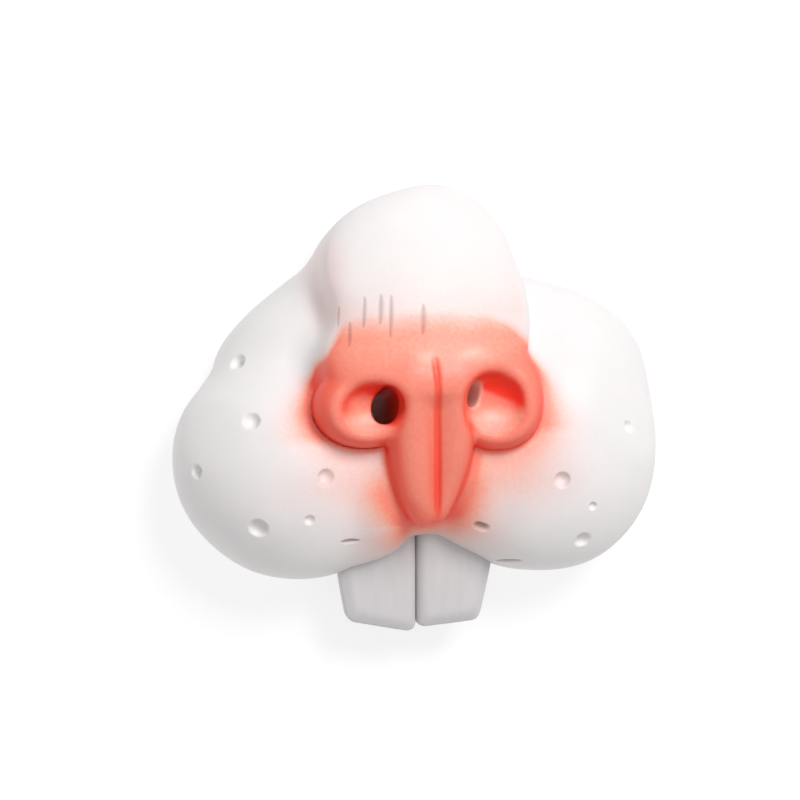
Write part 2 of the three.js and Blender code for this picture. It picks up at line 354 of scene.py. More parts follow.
@dataclass(frozen=True)
class Lobe:
    """A rounded form that flows into the sculpt: power 2 is an ellipsoid, and more is boxier."""

    centre: Triple
    half: Triple
    power: float
    blend: float = 0.0
    spin: float = 0.0
    tilt: float = 0.0

    def distance(self, points: Array) -> Array:
        """Measures how far points lie outside the lobe.

        Args:
            points: Where to measure, in mm.

        Returns:
            The distances, below zero inside the lobe.
        """
        spin, tilt = math.radians(self.spin), math.radians(self.tilt)
        x, y, z = (points[:, k] - self.centre[k] for k in range(3))
        across = math.cos(spin) * x + math.sin(spin) * y
        along = math.cos(spin) * y - math.sin(spin) * x
        up = math.cos(tilt) * along + math.sin(tilt) * z
        out = math.cos(tilt) * z - math.sin(tilt) * along
        shares = [np.abs(v) / r for v, r in zip((across, up, out), self.half)]
        lesser = [u ** (self.power - 1.0) for u in shares]
        size = sum(m * u for m, u in zip(lesser, shares)) ** (1.0 / self.power)
        size = np.maximum(size, LEAST)
        slope = np.sqrt(sum((m / r) ** 2 for m, r in zip(lesser, self.half)))
        return (size - 1.0) / np.maximum(slope / size ** (self.power - 1.0), LEAST)


@dataclass(frozen=True)
class Bar:
    """A tapered round bar between two points."""

    start: Triple
    end: Triple
    start_radius: float
    end_radius: float

    def distance(self, points: Array) -> Array:
        """Measures how far points lie outside the bar.

        Args:
            points: Where to measure, in mm.

        Returns:
            The distances, below zero inside the bar.
        """
        start = np.array(self.start, np.float32)
        axis = np.array(self.end, np.float32) - start
        share = np.clip((points - start) @ axis / (axis @ axis), 0.0, 1.0)
        radius = self.start_radius + (self.end_radius - self.start_radius) * share
        return np.linalg.norm(points - start - share[:, None] * axis, axis=-1) - radius


@dataclass(frozen=True)
class Ridge:
    """A round ridge down the face through knots, each given as x, y, z and the ridge's radius there."""

    knots: tuple[tuple[float, float, float, float], ...]
    samples: int = 400
    lean: float = 16.0

    def path(self) -> Array:
        """Runs a smooth curve through the knots.

        Returns:
            Rows of x, y, z and radius, from the foot of the ridge up.
        """
        knots = np.array(self.knots[::-1])
        pulls = np.gradient(knots, axis=0)
        spans = len(knots) - 1
        steps = np.linspace(0.0, spans, self.samples)
        at = np.minimum(steps.astype(int), spans - 1)
        t = (steps - at)[:, None]
        bend = soft_step(t)
        path = knots[at] * (1.0 - bend) + knots[at + 1] * bend
        return path + t * (1.0 - t) * ((1.0 - t) * pulls[at] - t * pulls[at + 1])

    def distance(self, points: Array) -> Array:
        """Measures how far points lie outside the ridge.

        Args:
            points: Where to measure, in mm.

        Returns:
            The distances, below zero inside the ridge.
        """
        x, y, z, radius = self.path().T
        level = np.clip(points[:, 1], y[0], y[-1])
        aside = points[:, 0] - np.interp(level, y, x)
        above = (points[:, 2] - np.interp(level, y, z)) * math.cos(math.radians(self.lean))
        beyond = points[:, 1] - level
        return np.sqrt(aside**2 + above**2 + beyond**2) - np.interp(level, y, radius)


@dataclass(frozen=True)
class Arch:
    """A round-shouldered opening cut up from the back edge, between two heights on the face."""

    half_width: float
    height: float
    corner: float
    low: float
    high: float

    def distance(self, points: Array) -> Array:
        """Measures how far points lie outside the opening.

        Args:
            points: Where to measure, in mm.

        Returns:
            The distances, below zero inside the opening.
        """
        x, y, z = points.T
        beyond_x = np.abs(x) - self.half_width + self.corner
        beyond_z = z - self.height + self.corner
        outside = np.hypot(np.maximum(beyond_x, 0.0), np.maximum(beyond_z, 0.0))
        profile = outside + np.minimum(np.maximum(beyond_x, beyond_z), 0.0) - self.corner
        return np.maximum(profile, np.maximum(self.low - y, y - self.high))


@dataclass(frozen=True)
class Mark:
    """A pit, slit or scratch pressed into the skin: its middle, its length and the way that it runs."""

    x: float
    y: float
    size: float = 1.0
    length: float = 0.02
    heading: float = 90.0
    taper: float = 0.0


@dataclass(frozen=True)
class LatexFinish:
    """Slip-cast natural latex, satin from its mould, with coral acrylic airbrushed over the nose.

    Cast latex is slightly translucent and never quite even, so the white is faintly mottled. The paint is a
    little glossier and fades into a speckled mist at its edge. Deep red and near-black coral are painted
    shade, laid in the creases, the bowls' roofs and the bores.
    """

    white: str = "#F3EFEE"
    white_cool: str = "#EBE8E9"
    inner: str = "#EDE6DC"
    coral_thin: str = "#FFAA94"
    coral: str = "#FF6A52"
    # painted shade: the coral turns to this deep red as the painted-shade layer rises to half, then to the
    # near-black red below
    coral_shaded: str = "#FF3018"
    coral_crease_shadow: str = "#8E1A0C"
    # the dark of pressed marks: partly the hair nicks' own brown, partly painted shade in the slits and
    # nicks
    mark_shade: str = "#7A4A3C"
    ior: float = 1.52
    white_roughness: float = 0.52
    paint_roughness: float = 0.4
    mottle_mm: float = 9.0
    mist_mm: float = 0.9
    grain_mm: float = 0.7
    mottle_detail: float = 3.0
    fine_detail: float = 2.0
    grain_strength: float = 0.12
    grain_depth_mm: float = 0.2
    # where the painted shade turns from deep red to near-black red
    half_shade_to: float = 0.5
    thin_to: float = 0.6
    subsurface_mm: float = 1.2
    subsurface_weight: float = 0.15
    subsurface_radius: Triple = (1.0, 0.7, 0.6)

    def material(self) -> bpy.types.Material:
        """Builds the latex with its paint.

        Returns:
            The material, which reads the sculpt's layers.
        """
        made = new_material("airbrushed_latex")
        tree = made.node_tree
        place = add_node(tree, "ShaderNodeTexCoord").outputs["Object"]
        layer = {
            kind: add_node(tree, "ShaderNodeAttribute", {"attribute_name": kind.value}).outputs["Fac"]
            for kind in Layer
        }
        mottle, mist, grain = (
            add_node(
                tree,
                "ShaderNodeTexNoise",
                inputs={"Vector": place, "Scale": 1.0 / (width * MM), "Detail": detail},
            ).outputs["Fac"]
            for width, detail in (
                (self.mottle_mm, self.mottle_detail),
                (self.mist_mm, self.fine_detail),
                (self.grain_mm, self.fine_detail),
            )
        )
        cavity = layer[Layer.CAVITY]
        spray = self._spray(tree, layer[Layer.CORAL], mist)
        # painted shade: the layer darkens the coral to deep red and then to near-black red
        half_shade, full_shade, thin, full = (
            add_node(tree, "ShaderNodeMapRange", inputs={0: share, 1: low, 2: high}).outputs[0]
            for share, low, high in (
                (cavity, 0.0, self.half_shade_to),
                (cavity, self.half_shade_to, 1.0),
                (spray, 0.0, self.thin_to),
                (spray, self.thin_to, 1.0),
            )
        )
        whites = {0: mottle, 6: linear(self.white), 7: linear(self.white_cool)}
        white = add_node(tree, "ShaderNodeMix", COLOUR_MIX, whites).outputs[2]
        coral = linear(self.coral)
        for share, colour in ((half_shade, self.coral_shaded), (full_shade, self.coral_crease_shadow)):
            deeper = {0: share, 6: coral, 7: linear(colour)}
            coral = add_node(tree, "ShaderNodeMix", COLOUR_MIX, deeper).outputs[2]
        skin = linear(self.inner)
        for share, coat in (
            (layer[Layer.OUTSIDE], white),
            (thin, linear(self.coral_thin)),
            (full, coral),
            (layer[Layer.MARK], linear(self.mark_shade)),
        ):
            skin = add_node(tree, "ShaderNodeMix", COLOUR_MIX, {0: share, 6: skin, 7: coat}).outputs[2]
        roughness = add_node(
            tree,
            "ShaderNodeMapRange",
            inputs={0: spray, 1: 0.0, 2: 1.0, 3: self.white_roughness, 4: self.paint_roughness},
        ).outputs[0]
        bump = add_node(
            tree,
            "ShaderNodeBump",
            inputs={"Strength": self.grain_strength, "Distance": self.grain_depth_mm * MM, "Height": grain},
        ).outputs[0]
        shader = add_node(
            tree,
            "ShaderNodeBsdfPrincipled",
            inputs={
                "Base Color": skin,
                "Roughness": roughness,
                "IOR": self.ior,
                "Normal": bump,
                "Subsurface Weight": self.subsurface_weight,
                "Subsurface Radius": self.subsurface_radius,
                "Subsurface Scale": self.subsurface_mm * MM,
            },
        )
        add_node(tree, "ShaderNodeOutputMaterial", inputs={"Surface": shader.outputs[0]})
        return made

    @staticmethod
    def _spray(
        tree: bpy.types.NodeTree, cover: bpy.types.NodeSocket, mist: bpy.types.NodeSocket
    ) -> bpy.types.NodeSocket:
        """Breaks the edge of the paint up into mist, and leaves full and bare places as they are.

        Args:
            tree: The material's tree.
            cover: How fully the paint covers the skin.
            mist: The noise that breaks it up.

        Returns:
            The cover with its mist.
        """
        bare = add_node(tree, "ShaderNodeMath", {"operation": "SUBTRACT"}, {0: 1.0, 1: cover}).outputs[0]
        edge = add_node(tree, "ShaderNodeMath", {"operation": "MULTIPLY"}, {0: cover, 1: bare}).outputs[0]
        speck = add_node(tree, "ShaderNodeMath", {"operation": "SUBTRACT"}, {0: mist, 1: 0.5}).outputs[0]
        shift = add_node(tree, "ShaderNodeMath", {"operation": "MULTIPLY"}, {0: edge, 1: speck}).outputs[0]
        return add_node(
            tree,
            "ShaderNodeMath",
            {"operation": "ADD", "use_clamp": True},
            {0: cover, 1: shift},
        ).outputs[0]


@dataclass(frozen=True)
class ToothFinish:
    """Cast rubber, pigmented grey-white and rubbed smooth: an even satin with faint lengthwise streaks."""

    light: str = "#DAD7D8"
    dark: str = "#CCC8C9"
    ior: float = 1.5
    roughness: float = 0.42
    streak_mm: float = 1.6
    streak_detail: float = 3.0
    streak_squeeze: float = 0.12
    relief_strength: float = 0.1
    relief_mm: float = 0.15

    def material(self) -> bpy.types.Material:
        """Builds the grey-white rubber.

        Returns:
            The material, which reads Object coordinates.
        """
        made = new_material("tooth_rubber")
        tree = made.node_tree
        place = add_node(tree, "ShaderNodeTexCoord").outputs["Object"]
        stretched = add_node(
            tree, "ShaderNodeMapping", inputs={"Vector": place, "Scale": (1.0, self.streak_squeeze, 1.0)}
        ).outputs[0]
        streak = add_node(
            tree,
            "ShaderNodeTexNoise",
            inputs={
                "Vector": stretched,
                "Scale": 1.0 / (self.streak_mm * MM),
                "Detail": self.streak_detail,
            },
        ).outputs["Fac"]
        greys = {0: streak, 6: linear(self.light), 7: linear(self.dark)}
        colour = add_node(tree, "ShaderNodeMix", COLOUR_MIX, greys).outputs[2]
        bump = add_node(
            tree,
            "ShaderNodeBump",
            inputs={"Strength": self.relief_strength, "Distance": self.relief_mm * MM, "Height": streak},
        ).outputs[0]
        shader = add_node(
            tree,
            "ShaderNodeBsdfPrincipled",
            inputs={"Base Color": colour, "Roughness": self.roughness, "IOR": self.ior, "Normal": bump},
        )
        add_node(tree, "ShaderNodeOutputMaterial", inputs={"Surface": shader.outputs[0]})
        return made


@dataclass(frozen=True)
class FloorFinish:
    """Matt white studio paper, lit from below around the part, so that the part's shadow stays faint."""

    paper: str = "#989898"
    glow: float = 0.72
    glow_from: float = 0.85
    roughness: float = 0.9
    # painted shade under the part: inside this oval the paper does not glow, so the floor seen through the
    # nostrils stays dark
    shade_mm: Pair = (50.0, 33.0)

    def material(self) -> bpy.types.Material:
        """Builds the paper.

        Returns:
            The material, whose glow starts around the part.
        """
        made = new_material("studio_paper")
        tree = made.node_tree
        place = add_node(tree, "ShaderNodeTexCoord").outputs["Object"]
        shares = [1.0 / (width * MM) for width in self.shade_mm]
        squeezed = add_node(
            tree, "ShaderNodeVectorMath", {"operation": "MULTIPLY"}, {0: place, 1: (*shares, 1.0)}
        ).outputs[0]
        away = add_node(tree, "ShaderNodeVectorMath", {"operation": "LENGTH"}, {0: squeezed})
        glow = add_node(
            tree,
            "ShaderNodeMapRange",
            inputs={0: away.outputs["Value"], 1: self.glow_from, 2: 1.0, 3: 0.0, 4: self.glow},
        ).outputs[0]
        shader = add_node(
            tree,
            "ShaderNodeBsdfPrincipled",
            inputs={
                "Base Color": linear(self.paper),
                "Roughness": self.roughness,
                "Emission Color": (1.0, 1.0, 1.0, 1.0),
                "Emission Strength": glow,
            },
        )
        add_node(tree, "ShaderNodeOutputMaterial", inputs={"Surface": shader.outputs[0]})
        return made


@dataclass(frozen=True)
class Press:
    """A Geometry Nodes tree that presses marks into a skin and leaves a layer where they are."""

    name: str
    marks: tuple[Mark, ...]
    width: float
    depth: float
    # how far the marks darken to the mark colour, which is partly painted shade
    shade: float
    rim: float = 2.6

    def tree(self, material: bpy.types.Material) -> bpy.types.NodeTree:
        """Builds the tree.

        Args:
            material: The finish that the pressed skin keeps.

        Returns:
            A tree with the inputs Skin, Marks, Width, Depth and Shade.
        """
        made = bpy.data.node_groups.new(self.name, "GeometryNodeTree")
        for label, kind in (
            ("Skin", "NodeSocketGeometry"),
            ("Marks", "NodeSocketObject"),
            ("Width", "NodeSocketFloat"),
            ("Depth", "NodeSocketFloat"),
            ("Shade", "NodeSocketFloat"),
        ):
            made.interface.new_socket(label, in_out="INPUT", socket_type=kind)
        made.interface.new_socket("Skin", in_out="OUTPUT", socket_type="NodeSocketGeometry")
        given = add_node(made, "NodeGroupInput").outputs
        info = add_node(made, "GeometryNodeObjectInfo", inputs={"Object": given["Marks"]})
        marks = info.outputs["Geometry"]
        near = add_node(made, "GeometryNodeProximity", {"target_element": "EDGES"}, {0: marks})
        nearest = add_node(made, "GeometryNodeSampleNearest", {"domain": "POINT"}, {0: marks}).outputs[0]
        own_size, outside, before = (
            add_node(made, "GeometryNodeInputNamedAttribute", inputs={"Name": name}).outputs[0]
            for name in ("size", Layer.OUTSIDE.value, Layer.MARK.value)
        )
        on_points = {"data_type": "FLOAT", "domain": "POINT"}
        value = {name: given[name] for name in ("Width", "Depth", "Shade")}
        value |= {"away": near.outputs["Distance"], "outside": outside, "before": before}
        value["size"] = add_node(
            made,
            "GeometryNodeSampleIndex",
            on_points,
            {"Geometry": marks, "Value": own_size, "Index": nearest},
        ).outputs[0]
        for result, operation, first, second in (
            ("width", "MULTIPLY", "Width", "size"),
            ("share", "DIVIDE", "away", "width"),
            ("rim", "POWER", "share", self.rim),
            ("bare", "SUBTRACT", 1.0, "rim"),
            ("inside", "MAXIMUM", "bare", 0.0),
            ("pressed", "MULTIPLY", "inside", "outside"),
            ("depth", "MULTIPLY", "Depth", "size"),
            ("deep", "MULTIPLY", "pressed", "depth"),
            ("inwards", "MULTIPLY", "deep", -1.0),
            ("shaded", "MULTIPLY", "pressed", "Shade"),
            ("mark", "MAXIMUM", "before", "shaded"),
        ):
            pair = {0: value.get(first, first), 1: value.get(second, second)}
            value[result] = add_node(made, "ShaderNodeMath", {"operation": operation}, pair).outputs[0]
        normal = add_node(made, "GeometryNodeInputNormal").outputs[0]
        inwards = {0: normal, "Scale": value["inwards"]}
        offset = add_node(made, "ShaderNodeVectorMath", {"operation": "SCALE"}, inwards).outputs[0]
        stored = {"Geometry": given["Skin"], "Name": Layer.MARK.value, "Value": value["mark"]}
        shown = add_node(made, "GeometryNodeStoreNamedAttribute", on_points, stored).outputs[0]
        moved = add_node(made, "GeometryNodeSetPosition", inputs={"Geometry": shown, "Offset": offset})
        real = add_node(made, "GeometryNodeRealizeInstances", inputs={0: moved.outputs[0]}).outputs[0]
        dressed = add_node(
            made, "GeometryNodeSetMaterial", inputs={"Geometry": real, "Material": material}
        ).outputs[0]
        add_node(made, "NodeGroupOutput", inputs={"Skin": dressed})
        return made

    def apply(self, skin: bpy.types.Object, lines: bpy.types.Object, material: bpy.types.Material) -> None:
        """Presses the marks into a skin and leaves it a plain mesh.

        Args:
            skin: The object that is marked.
            lines: A mesh of short edges that lie on the skin, one row for each mark.
            material: The finish that the skin keeps.
        """
        tree = self.tree(material)
        modifier = skin.modifiers.new(self.name, "NODES")
        modifier.node_group = tree
        given = {"Marks": lines, "Width": self.width * MM, "Depth": self.depth * MM, "Shade": self.shade}
        for item in tree.interface.items_tree:
            if item.in_out == "INPUT" and item.name in given:
                modifier[item.identifier] = given[item.name]
        make_plain(skin)
        bpy.data.objects.remove(lines)


@dataclass(frozen=True)
class Nostril:
    """One side of the nose: its wing, the bowl in the wing, the breathing hole and the column below."""

    wing: Lobe
    bowl: Lobe
    hole: Bar
    column: Ridge
    hole_stretch: float = 1.5
    hole_blend: float = 1.0
    sleeve: float = 1.6
    sleeve_share: float = 0.64
    # bore_shade is the painted shade down the bore; bore_paint is how much paint the bore keeps
    bore_shade: float = 1.0
    bore_paint: float = 1.0
    roof_level: float = 3.0
    roof_slant: float = 0.45
    # how strongly the crease under the wing is painted full coral and darkened as painted shade
    crease: float = 1.0
    under_paint: float = 1.0
    under_from: float = 0.3

    def hole_distance(self, points: Array, share: float = 1.0) -> Array:
        """Measures the oval breathing hole.

        Args:
            points: Where to measure, in mm.
            share: The share of its length, from the bowl, that is measured.

        Returns:
            The distances, below zero inside the hole.
        """
        start, end = (np.array(corner, np.float32) for corner in (self.hole.start, self.hole.end))
        along = (points[:, 2] - start[2]) / (end[2] - start[2])
        level = start[1] + (end[1] - start[1]) * along
        squeezed = points.copy()
        squeezed[:, 1] = level + (points[:, 1] - level) / self.hole_stretch
        stop = tuple(start + (end - start) * share)
        return replace(self.hole, end=stop).distance(squeezed)


@dataclass(frozen=True)
class Airbrush:
    """Where the coral lands on the moulding, in mm, and how fully it covers, from 0 to 1, with its painted
    highlights and painted shade.

    A span gives where a change starts and where it is complete.
    """

    # The nose's own forms, and the mist around them, which is wider lower down
    form_blend: float = 3.0
    low_span: Span = (12.0, -24.0)
    reach: float = 1.2
    low_reach: float = 2.0
    fade: float = 1.0
    low_fade: float = 5.4
    fade_power: float = 1.25
    top_middle: float = 2.5
    top_half_width: float = 20.6
    top_level: float = 17.0
    top_spread: float = 0.6
    top_low: float = 2.0
    top_back: float = 34.0

    # The wavy edge across the bridge, and the haze above it and on its left flank
    middle: float = 1.0
    brow_line: float = 17.4
    brow_fall: float = 0.0025
    brow_wave: float = 0.5
    brow_waves_mm: Pair = (1.9, 5.3)
    brow_fade: Span = (5.0, -3.0)
    thinner: float = 0.18
    thinner_span: Span = (5.0, 14.0)
    haze: float = 0.2
    haze_from: float = 20.0
    haze_run: float = 7.0
    bridge_sides: Span = (25.0, 21.0)
    bridge_rise: Span = (10.0, 16.0)
    flank: float = 0.13
    flank_middle: float = -20.5
    flank_width: float = 4.5
    flank_rise: Span = (12.0, 20.0)
    flank_end: Span = (44.0, 30.0)

    # Painted light: thinner, paler paint on the lit lower floors of the bowls and two painted highlights on
    # the nose's bend; and thinner paint where the skin faces straight out
    painted_light: float = 0.42
    floor_rise: Span = (1.0, -3.0)
    floor_depth: Span = (0.6, -0.1)
    highlight_strength: float = 0.75
    highlight_spots: tuple[Pair, ...] = ((-1.8, 2.4), (9.0, 4.4))  # the middle and the width of each
    patch_level: float = 10.2
    patch_height: float = 1.6
    patch_wave: float = 0.4
    patch_wave_mm: float = 1.3
    # thinner paint where the skin faces straight out
    face_thinning: float = 0.2
    thinning_facing: Span = (0.55, 0.95)

    # The cheeks under the wings, which less paint reaches
    under_gap: Span = (0.3, 1.8)
    under_top: Span = (-6.0, -10.0)
    under_low: Span = (-23.0, -14.0)
    under_side: Span = (0.0, 2.2)

    # Painted shade: darker, redder paint in the creases, the groove, on steep sides, in the bowls' roofs and
    # in the bores
    crease: float = 0.82
    crease_width: float = 1.3
    crease_top: Span = (1.5, -2.5)
    crease_side: Span = (0.4, 2.0)
    shade_reach: float = 1.1
    groove: float = 0.18
    groove_even: Span = (0.0, 0.4)
    groove_shade_kept: float = 0.35
    steep: float = 0.35
    roof: float = 0.5
    roof_rise: Span = (-2.75, 2.75)
    roof_depth: Span = (1.0, 0.0)
    bore_side: Span = (0.8, -0.2)
    bore_depth: Span = (43.0, 40.0)


@dataclass
class Muzzle:
    """The hollow latex moulding: cheeks, lip, bridge, nose tip, nostrils and the two columns below them."""

    wall: float = 2.2
    coarse_step: float = 0.85
    fine_step: float = 0.5
    # For x, y and z, the stretch that the net covers and the part of it that is drawn finely
    spans: tuple[tuple[Span, Span], ...] = (
        ((-64, 64), (-31, 31)),
        ((-48, 56), (-30, 24)),
        ((-3, 54), (27, 54)),
    )
    lobes: tuple[Lobe, ...] = (
        Lobe((31.9, -11.9, 16), (29.2, 30.5, 21.5), 2.16, spin=-4.8),  # right cheek
        Lobe((29, 10.6, 8), (31.5, 18.9, 14), 2.36, blend=10, spin=-13.8),  # web from it to the bridge
        Lobe((-29.9, -15.8, 15), (28.3, 25.1, 22), 2, blend=10, spin=-36.4),  # left cheek
        Lobe((-16.5, 11.5, 6), (20.5, 28.3, 21), 3, blend=8, spin=-53.3),  # web from it to the bridge
        Lobe((1.1, -13.8, 14), (22.4, 15.2, 24.5), 2.24, blend=8, spin=-1.9),  # lip
        Lobe((-10.2, -24, 14), (11, 13.8, 20), 2.08, blend=5),  # left of the lip
        Lobe((13.8, -22.5, 14), (11, 13.2, 19), 2.1, blend=3.5),  # right of the lip
        Lobe((2.4, -25.2, 18), (6.5, 6.6, 10.5), 2.2, blend=3),  # middle of the lip
        Lobe((2.7, 23.8, 16.5), (23.8, 25.9, 38.8), 2.55, blend=3, spin=17.4, tilt=-6),  # bridge
    )
    tip: Lobe = Lobe((-0.7, 8, 33), (23.8, 11.5, 15.5), 2.7, blend=8)
    nostrils: tuple[Nostril, Nostril] = (
        Nostril(
            wing=Lobe((-14.6, -1.1, 36.5), (12.2, 9.8, 9.5), 2.05, blend=1, spin=-3.5),
            bowl=Lobe((-14.9, -2.2, 47.5), (7.2, 6.4, 8.3), 2.1, blend=3),
            hole=Bar((-9.6, -0.1, 44), (-14, -6.7, 22), 2.8, 2.6),
            roof_level=2.1,
            under_paint=0.35,
            column=Ridge(
                (
                    (-5, 6, 42.1, 6.2),
                    (-4.8, 0, 41.2, 6.0),
                    (-4.3, -10, 38.7, 5.6),
                    (-3.7, -17, 36.9, 5.2),
                    (-2.8, -22.5, 35.3, 4.6),
                    (-1.7, -26, 34.1, 3.8),
                    (-1.2, -28.2, 33.3, 2.7),
                    (-1, -29.3, 32.8, 1.5),
                    (-0.9, -29.8, 32.5, 0.4),
                )
            ),
        ),
        Nostril(
            wing=Lobe((16.8, 0, 36.5), (11, 12.3, 9.5), 2.3, blend=1),
            bowl=Lobe((15, -2, 47.5), (7.4, 7.8, 8.3), 2.2, blend=3),
            hole=Bar((11, 1.3, 44), (5.5, 0.2, 22), 2.2, 2.2),
            roof_level=1.3,
            crease=0.6,
            under_paint=0.6,
            under_from=2.0,
            bore_shade=0.0,
            bore_paint=0.3,
            column=Ridge(
                (
                    (5.3, 6, 42.1, 6.0),
                    (5.6, 0, 41.2, 5.7),
                    (5.8, -6, 39.7, 5.3),
                    (5.7, -13, 38, 4.6),
                    (5.1, -18.5, 36.6, 3.7),
                    (4.2, -23.5, 35.2, 2.7),
                    (3.5, -26.4, 34.3, 2),
                    (3.1, -28, 33.7, 1.3),
                    (2.9, -28.9, 33.3, 0.4),
                )
            ),
        ),
    )
    septum: Bar = Bar((0.3, 4, 41.4), (1.8, -23.5, 31.8), 5, 3)
    column_blend: float = 1.5
    septum_blend: float = 3.0
    bend: Pair = (10, 48)  # how far up the face, and how far out of it
    bend_slope: float = 22.0
    bend_blend: float = 4.0
    crown_middle: float = 2.0
    crown_radius: float = 60.0
    mouth: Arch = Arch(20.5, 17, 9, low=-62, high=-5)
    brow: Arch = Arch(14, 10, 8, low=26, high=62)
    arch_blend: float = 0.8
    rim_blend: float = 0.4
    bowl_wall_blend: float = 5.0
    sleeve_blend: float = 1.0
    groove_depth: float = 0.45
    groove_half_width: float = 0.7
    groove_span: Span = (-29, 11)
    groove_ends: Pair = (4, 3)  # how far it fades at its foot and at its top
    groove_heights: Span = (30, 36)
    groove_drift: float = 2.2
    lump_height: float = 0.15
    lump_widths: Triple = (4.7, 5.3, 6.1)
    lump_phases: Triple = (1.3, 0.4, 2.0)
    presses: tuple[Press, ...] = (
        Press(
            "whisker_pits",
            width=2.1,
            depth=1.8,
            shade=0.0,
            marks=(
                Mark(-41.9, 10.2, 1.0),
                Mark(-40.7, -3.7, 1.0),
                Mark(-53.0, -15.1, 0.8),
                Mark(-24.2, -17.4, 1.0),
                Mark(-39.7, -28.6, 1.15),
                Mark(-28.1, -27.1, 0.6),
                Mark(50.4, -8.1, 0.75),
                Mark(32.3, -20.0, 0.95),
                Mark(38.6, -34.6, 1.0),
                Mark(40.2, -26.5, 0.5),
            ),
        ),
        # the lip slits are darkened as painted shade
        Press(
            "lip_slits",
            width=0.95,
            depth=0.7,
            shade=0.62,
            rim=1.4,
            marks=(
                Mark(-17.8, -32.6, 0.85, 4.0, 2, 0.5),
                Mark(13.8, -30.4, 1.5, 1.6, -20),
                Mark(22.0, -39.2, 0.8, 5.0, 0, 0.5),
            ),
        ),
        # the hair nicks are darkened partly for their own brown line and partly as painted shade
        Press(
            "hair_nicks",
            width=0.85,
            depth=0.16,
            shade=0.42,
            rim=1.0,
            marks=(
                Mark(-20.1, 19.9, 0.7, 4.5, 82, 0.5),
                Mark(-18.4, 15.6, 0.9, 5.5, 82, 0.5),
                Mark(-14.7, 20.7, 0.9, 7.0, 82, 0.5),
                Mark(-11.0, 21.2, 1.1, 6.5, 82, 0.5),
                Mark(-8.9, 19.5, 1.0, 9.5, 82, 0.5),
                Mark(-1.6, 18.6, 1.3, 6.5, 82, 0.5),
            ),
        ),
    )
    mark_points: int = 9
    mark_step: float = 0.32
    mark_reach: float = 3.4
    mark_rounds: int = 2
    front_step: float = 0.05
    outside_reach: float = 0.5
    triangle_limit: int = 195_000
    slot: Slot = Slot.LATEX
    paint: Airbrush = Airbrush()
    finish: LatexFinish = field(default_factory=LatexFinish)

    def groove(self, points: Array) -> Array:
        """Measures how far the groove between the columns sinks the skin.

        Args:
            points: Where to measure, in mm.

        Returns:
            The depths, in mm.
        """
        foot, top = self.groove_span
        x, y, z = points.T
        middle = self.groove_drift * np.clip((top - y) / (top - foot), 0.0, 1.0)
        across = bell(x, middle, self.groove_half_width)
        foot_end, top_end = self.groove_ends
        ends = ramp(y, (top, top - top_end)) * ramp(y, (foot, foot + foot_end))
        return self.groove_depth * across * ends * ramp(z, self.groove_heights)

    def lumps(self, points: Array) -> Array:
        """Measures the low lumps that the sculptor's hand left in the skin."""
        waves = [np.sin(points[:, k] / self.lump_widths[k] + self.lump_phases[k]) for k in range(3)]
        return self.lump_height * (waves[0] * waves[1] * waves[2])

    def bridge_plane(self, points: Array) -> Array:
        """Measures the crowned slope that runs from the nose's bend up the bridge.

        Args:
            points: Where to measure, in mm.

        Returns:
            How far they lie above the slope.
        """
        slope = math.radians(self.bend_slope)
        bend_y, bend_z = self.bend
        up = (points[:, 1] - bend_y) * math.sin(slope)
        crown = (points[:, 0] - self.crown_middle) ** 2 / (2.0 * self.crown_radius)
        return up + crown + (points[:, 2] - bend_z) * math.cos(slope)

    def body(self, points: Array) -> Array:
        """Measures the cheeks, lip, bridge and nose tip, blended together.

        Args:
            points: Where to measure, in mm.

        Returns:
            The distances, below zero inside.
        """
        distance = self.lobes[0].distance(points)
        for lobe in (*self.lobes[1:], self.tip):
            distance = blended_min(distance, lobe.distance(points), lobe.blend)
        return blended_max(distance, self.bridge_plane(points), self.bend_blend)

    def columns(self, points: Array) -> Array:
        """Measures the two columns, joined along the septum.

        Args:
            points: Where to measure, in mm.

        Returns:
            The distances, below zero inside.
        """
        whole = self.septum.distance(points)
        for nostril in self.nostrils:
            whole = blended_min(whole, nostril.column.distance(points), self.septum_blend)
        return whole

    def skin(self, points: Array) -> Array:
        """Measures the outer skin with its nostril wings, columns and groove.

        Args:
            points: Where to measure, in mm.

        Returns:
            The distances, below zero inside.
        """
        whole = self.body(points)
        for nostril in self.nostrils:
            whole = blended_min(whole, nostril.wing.distance(points), nostril.wing.blend)
        whole = blended_min(whole, self.columns(points), self.column_blend)
        whole = blended_max(whole, self.bridge_plane(points), self.bend_blend)
        whole = whole + self.groove(points) + self.lumps(points)
        for nostril in self.nostrils:
            whole = blended_max(whole, -nostril.bowl.distance(points), nostril.bowl.blend)
            whole = blended_max(whole, -nostril.hole_distance(points), nostril.hole_blend)
        return whole

    def hollow(self, points: Array) -> Array:
        """Measures the hollow, which keeps a wall under the skin and under the nostril bowls.

        Args:
            points: Where to measure, in mm.

        Returns:
            The distances, below zero inside the hollow.
        """
        inside = self.body(points) + self.wall
        for nostril in self.nostrils:
            floor = self.wall - nostril.bowl.distance(points)
            inside = blended_max(inside, floor, self.bowl_wall_blend)
            sleeve = nostril.sleeve - nostril.hole_distance(points, nostril.sleeve_share)
            inside = blended_max(inside, sleeve, self.sleeve_blend)
        return inside

    def distance(self, points: Array, sockets: Iterable["Incisor"]) -> Array:
        """Measures the whole moulding.

        Args:
            points: Where to measure, in mm.
            sockets: The teeth that the lip leaves room for.

        Returns:
            The distances, below zero inside the latex.
        """
        shell = blended_max(self.skin(points), -self.hollow(points), self.rim_blend)
        for opening in (self.mouth, self.brow):
            shell = blended_max(shell, -opening.distance(points), self.arch_blend)
        for tooth in sockets:
            shell = np.maximum(shell, tooth.fit_gap - tooth.distance(points))
        return np.maximum(shell, -points[:, 2])

